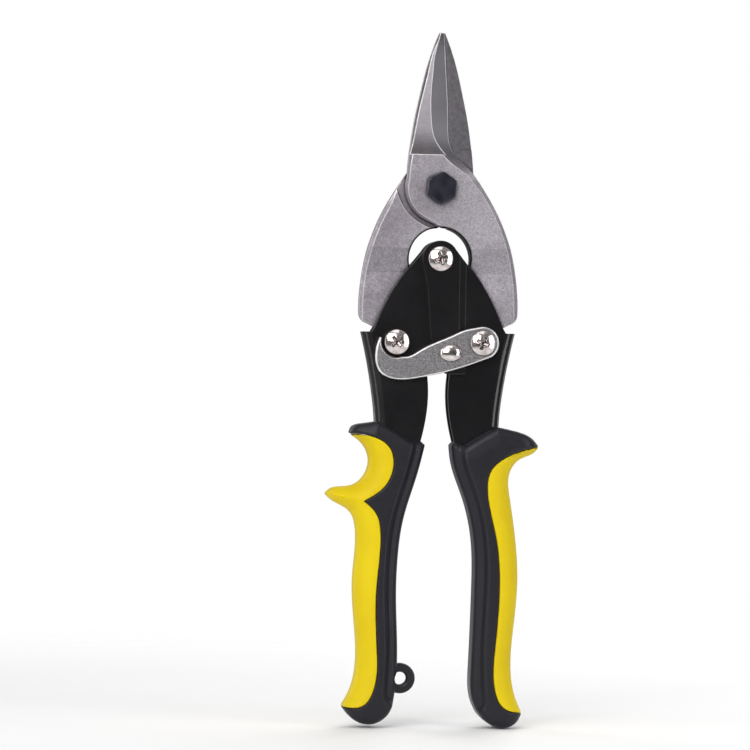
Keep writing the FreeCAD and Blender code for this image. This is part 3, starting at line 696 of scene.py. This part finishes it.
def head_mesh(turn):
    """A pan head with a tapered cross recess. Its front is at y = 0."""
    c, s = math.cos(turn), math.sin(turn)

    def values_at(p):
        return np.hypot(p[:, 0], p[:, 1]), c * p[:, 0] + s * p[:, 1], c * p[:, 1] - s * p[:, 0]

    def depth(values, y):
        r, u, v = values
        dome = np.sqrt(r ** 2 + (y - HEAD_DOME_R) ** 2) - HEAD_DOME_R
        head = rounded(np.maximum(dome, y - HEAD_HEIGHT), r - HEAD_R, HEAD_ROUND)
        arm, width = ARM_REACH - ARM_REACH_TAPER * y, ARM_HALF - ARM_HALF_TAPER * y
        wing_u = np.maximum(np.abs(u) - arm, np.abs(v) - width)
        wing_v = np.maximum(np.abs(v) - arm, np.abs(u) - width)
        hub = r - (HUB_R - HUB_TAPER * y)
        recess = smooth_min(smooth_min(wing_u, wing_v, 0.35), hub, 0.3)
        recess = np.maximum(recess, y - RECESS_DEPTH + RECESS_SLOPE * r)
        return smooth_max(head, -recess, 0.16)

    plan = Plan(values_at, [-4.6, 0, -4.6], [4.6, 0, 4.6], HEAD_STEP)
    return field_mesh(plan, depth, -0.4, HEAD_HEIGHT + 0.4, 2)[:2]


def build_screw(node, body, centre, front, end, turn, neck=None):
    """A screw whose head starts at front. neck is the radius and the back of a shoulder behind it."""
    head, quads = head_mesh(turn)
    profile = [(2.4, HEAD_HEIGHT - 0.5), (SHANK_R, HEAD_HEIGHT - 0.3), (SHANK_R, end - front - 0.4),
               (2.5, end - front)]
    if neck:
        radius, back = neck
        profile[1:2] = [(radius, HEAD_HEIGHT - 0.3), (radius, back - front), (SHANK_R, back - front)]
    shank, rings = lathe(profile, 40)
    verts = np.vstack([head, shank]) + [centre[0], front, centre[1]]
    faces = [tuple(f) for f in quads] + [tuple(i + len(head) for i in f) for f in rings]
    made = make_object(f"{node}_fine", verts, faces)
    paint(made, "nickel_plate")
    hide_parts(node)
    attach(made, body)


build_screw("handle_pivot_screw", "left_handle", HANDLE_PIVOT, -8.9, 10.8, 0.35)
build_screw("left_link_screw", "left_handle", LEFT_LINK, -10.72, 9.2, 0.72, neck=(4.2, -4.9))
build_screw("right_link_screw", "right_handle", RIGHT_LINK, -10.72, 9.2, 1.2)


# ---------------------------------------------------------------- latch

LATCH_BACK = 6.92
LATCH_FRONT = 8.58
LATCH_ROUND = 0.75
LATCH_INSET = 0.03
HOOK_R = 5.5
LATCH_EYE_R = 5.95
LATCH_STEP = 0.1
LATCH_TOP = [(-11.2, 133.4), (-7.3, 135.5), (-1.4, 138.5), (4.6, 141.1), (9.4, 143.2), (13.6, 144.04)]
LATCH_LOW = [(10.7, 130.3), (3.0, 127.9), (-4.8, 126.1), (-11.0, 125.0), (-17.3, 125.2), (-20.9, 127.0),
             (-22.9, 130.6), (-23.1, 134.8), (-22.4, 138.4), (-21.8, 139.9)]


def build_latch():
    hook = [polar(LEFT_LINK, HOOK_R, math.radians(a)) for a in np.linspace(166, 288, 9)]
    eye = [polar(RIGHT_LINK, LATCH_EYE_R, math.radians(a)) for a in np.linspace(90, -60, 9)]
    outline = trace(hook[0], [hook[1:], LATCH_TOP + eye, LATCH_LOW, [(-21.4, 140.2), hook[0]]])

    def values_at(p):
        return line_distance(p, outline, closed=True), np.hypot(*(p - RIGHT_LINK).T)

    def depth(values, y):
        out, around = values
        middle = -(LATCH_FRONT + LATCH_BACK) / 2
        half = (LATCH_FRONT - LATCH_BACK) / 2
        front = rounded(out + LATCH_INSET, middle - half - y, LATCH_ROUND)
        return np.maximum(np.maximum(front, y - middle - half), SHANK_R + 0.05 - around)

    low, high = outline.min(0) - 1, outline.max(0) + 1
    plan = Plan(values_at, [low[0], 0, low[1]], [high[0], 0, high[1]], LATCH_STEP)
    made = make_object("latch_fine", *field_mesh(plan, depth, -9.0, -6.5, 2))
    paint(made, "latch_steel")
    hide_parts("latch")
    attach(made, "latch")


build_latch()


# ---------------------------------------------------------------- spring

COIL_R = 5.0
COIL_PITCH = 1.7
COIL_TURNS = 2.5
WIRE_R = 0.8
SPRING_LEG = [(5.0, 168.5), (5.05, 160.0), (5.3, 148.0), (5.7, 137.0), (7.6, 130.2), (13.0, 122.5),
              (19.4, 113.5)]


def spring_path():
    """The wire's centre line: up the right leg, round the coil and down the left leg."""
    reach = COIL_PITCH * COIL_TURNS / 2
    turns = np.linspace(0, 2 * math.pi * COIL_TURNS, 150)
    coil = np.stack([COIL_R * np.cos(turns), reach - COIL_PITCH * turns / (2 * math.pi),
                     HANDLE_PIVOT[1] + COIL_R * np.sin(turns)], 1)
    leg = spline(SPRING_LEG, 1.5)
    right = np.stack([leg[:, 0], np.full(len(leg), reach), leg[:, 1]], 1)[::-1]
    left = np.stack([-leg[:, 0], np.full(len(leg), -reach), leg[:, 1]], 1)
    return np.vstack([right[:-1], coil, left[1:]])


spring = make_object("handle_spring_wire", *tube(spring_path(), WIRE_R))
paint(spring, "spring_steel")
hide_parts("handle_spring")
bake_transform(spring)


# ---------------------------------------------------------------- metal parts from the CAD

WELD_GAP = 2e-6
FLAT_ANGLE = math.radians(0.4)
EDGE_ANGLE = math.radians(35)


def soften(piece, width, segments=3):
    """Rounds a CAD node's sharp edges with modifiers; its own mesh stays as it is."""
    weld = piece.modifiers.new("weld", "WELD")
    weld.merge_threshold = WELD_GAP
    flat = piece.modifiers.new("flat", "DECIMATE")
    flat.decimate_type = "DISSOLVE"
    flat.angle_limit = FLAT_ANGLE
    bevel = piece.modifiers.new("bevel", "BEVEL")
    bevel.width = width
    bevel.segments = segments
    bevel.limit_method = "ANGLE"
    bevel.angle_limit = EDGE_ANGLE
    bevel.harden_normals = False
    even = piece.modifiers.new("even", "WEIGHTED_NORMAL")
    even.keep_sharp = False
    even.weight = 80


for name, piece in nodes.items():
    if not piece.hide_render:
        paint(piece, SLOT_OF[name])

for name in ("jaw_pivot_bolt", "jaw_pivot_nut", "handle_pivot_nut", "left_link_nut", "right_link_nut"):
    soften(nodes[name], 0.00025)
for name in ("jaw_pivot_washer", "handle_pivot_washer", "left_link_washer", "right_link_washer"):
    soften(nodes[name], 0.00012, 2)


# ---------------------------------------------------------------- floor, light and camera

FLOOR_R = 0.62
FLOOR_SIDES = 96
FLOOR_DROP = 0.0003
FLOOR_FADE = 0.20, 0.60


def build_floor():
    """A pale disc just under the object, which fades out towards its edge."""
    ring = [(*polar((0.0, 0.0), FLOOR_R, 2 * math.pi * k / FLOOR_SIDES), 0.0)
            for k in range(FLOOR_SIDES)]
    mesh = bpy.data.meshes.new("floor")
    mesh.from_pydata([(0.0, 0.0, 0.0)] + ring, [],
                     [(0, k + 1, (k + 1) % FLOOR_SIDES + 1) for k in range(FLOOR_SIDES)])
    floor = bpy.data.objects.new("floor", mesh)
    floor.location = (0, 0, -FLOOR_DROP)
    bpy.context.scene.collection.objects.link(floor)

    material = bpy.data.materials.new("floor")
    material.use_nodes = True
    tree = material.node_tree
    tree.nodes.clear()
    coords = add(tree, "ShaderNodeTexCoord").outputs["Object"]
    tone = mix(tree, noise(tree, coords, 6, 3), (0.90, 0.90, 0.905, 1), (0.94, 0.94, 0.94, 1))
    reach = add(tree, "ShaderNodeVectorMath", {0: coords}, operation="LENGTH").outputs["Value"]
    solid = add(tree, "ShaderNodeBsdfPrincipled", {"Base Color": tone, "Roughness": 0.75,
                                                   "Specular IOR Level": 0.2})
    clear = add(tree, "ShaderNodeBsdfTransparent")
    fade = add(tree, "ShaderNodeMapRange", {"Value": reach, "From Min": FLOOR_FADE[0],
                                            "From Max": FLOOR_FADE[1]},
               interpolation_type="SMOOTHSTEP").outputs["Result"]
    both = add(tree, "ShaderNodeMixShader", {0: fade, 1: solid.outputs["BSDF"],
                                             2: clear.outputs["BSDF"]})
    add(tree, "ShaderNodeOutputMaterial", {"Surface": both.outputs["Shader"]})
    mesh.materials.append(material)


def build_world():
    world = bpy.data.worlds.new("studio")
    bpy.context.scene.world = world
    world.use_nodes = True
    tree = world.node_tree
    tree.nodes.clear()
    direction = add(tree, "ShaderNodeTexCoord").outputs["Generated"]
    x, y, z = parts_of(tree, direction)
    left = remap(tree, x, -0.35, -0.95, 0.0, 0.26)
    right = remap(tree, x, 0.35, 0.95, 0.0, 0.05)
    behind = remap(tree, y, 0.1, 0.9, 0.10, 0.20)
    glow = maths(tree, "ADD", maths(tree, "ADD", left, right),
                 maths(tree, "ADD", behind, remap(tree, z, 0.15, 1.0, 0.0, 0.38)))
    light = add(tree, "ShaderNodeBackground", {"Color": (1, 1, 1, 1), "Strength": glow})
    seen = add(tree, "ShaderNodeBackground", {"Color": (1, 1, 1, 1), "Strength": 1.0})
    camera_ray = add(tree, "ShaderNodeLightPath").outputs["Is Camera Ray"]
    both = add(tree, "ShaderNodeMixShader", {0: camera_ray, 1: light.outputs["Background"],
                                             2: seen.outputs["Background"]})
    add(tree, "ShaderNodeOutputWorld", {"Surface": both.outputs["Shader"]})


AIM = Vector((0, 0, 0.125))
LIGHTS = (
    # name, azimuth and elevation in degrees, distance, (width, height), power, colour
    ("key", -24, 22, 1.0, (0.60, 0.60), 5.6, (1.0, 0.99, 0.985)),
    ("left_box", -64, 10, 0.9, (0.30, 0.90), 1.4, (1.0, 0.99, 0.98)),
    ("right_strip", 48, 6, 0.9, (0.36, 0.90), 3.0, (0.98, 0.98, 1.0)),
    ("right_rim", 122, 14, 0.9, (0.35, 0.90), 1.2, (0.98, 0.98, 1.0)),
    ("top", -10, 60, 1.0, (0.60, 0.50), 1.2, (1, 1, 1)),
    ("back_key", 156, 22, 1.0, (0.60, 0.60), 4.2, (1, 1, 1)),
    ("back_box", -140, 16, 1.0, (0.40, 0.80), 1.6, (1, 1, 1)),
)


def soft_light(name, azimuth, elevation, distance, size, power, colour):
    data = bpy.data.lights.new(name, "AREA")
    data.shape = "RECTANGLE"
    data.size, data.size_y = size
    data.energy = power
    data.color = colour
    lamp = bpy.data.objects.new(name, data)
    a, e = math.radians(azimuth), math.radians(elevation)
    way = Vector((math.sin(a) * math.cos(e), -math.cos(a) * math.cos(e), math.sin(e)))
    lamp.location = AIM + distance * way
    lamp.rotation_euler = way.to_track_quat("Z", "Y").to_euler()
    lamp.visible_camera = False
    bpy.context.scene.collection.objects.link(lamp)


build_floor()
build_world()
for light in LIGHTS:
    soft_light(*light)

YAW = math.radians(-5.5)
ROLL = math.radians(0.88)
FRAME_WIDTH = 0.27
DISTANCE = 1.5
SENSOR = 36.0
TARGET = Vector((-0.02095, 0.0, 0.12639))

away = Vector((math.sin(YAW), -math.cos(YAW), 0.0))
camera_data = bpy.data.cameras.new("camera")
camera_data.sensor_width = SENSOR
camera_data.lens = SENSOR * DISTANCE / FRAME_WIDTH
camera_data.clip_start = 0.05
camera = bpy.data.objects.new("camera", camera_data)
camera.location = TARGET + DISTANCE * away
camera.rotation_euler = away.to_track_quat("Z", "Y").to_euler()
camera.rotation_euler.rotate_axis("Z", ROLL)
bpy.context.scene.collection.objects.link(camera)
bpy.context.scene.camera = camera
bpy.context.scene.view_settings.view_transform = "Standard"
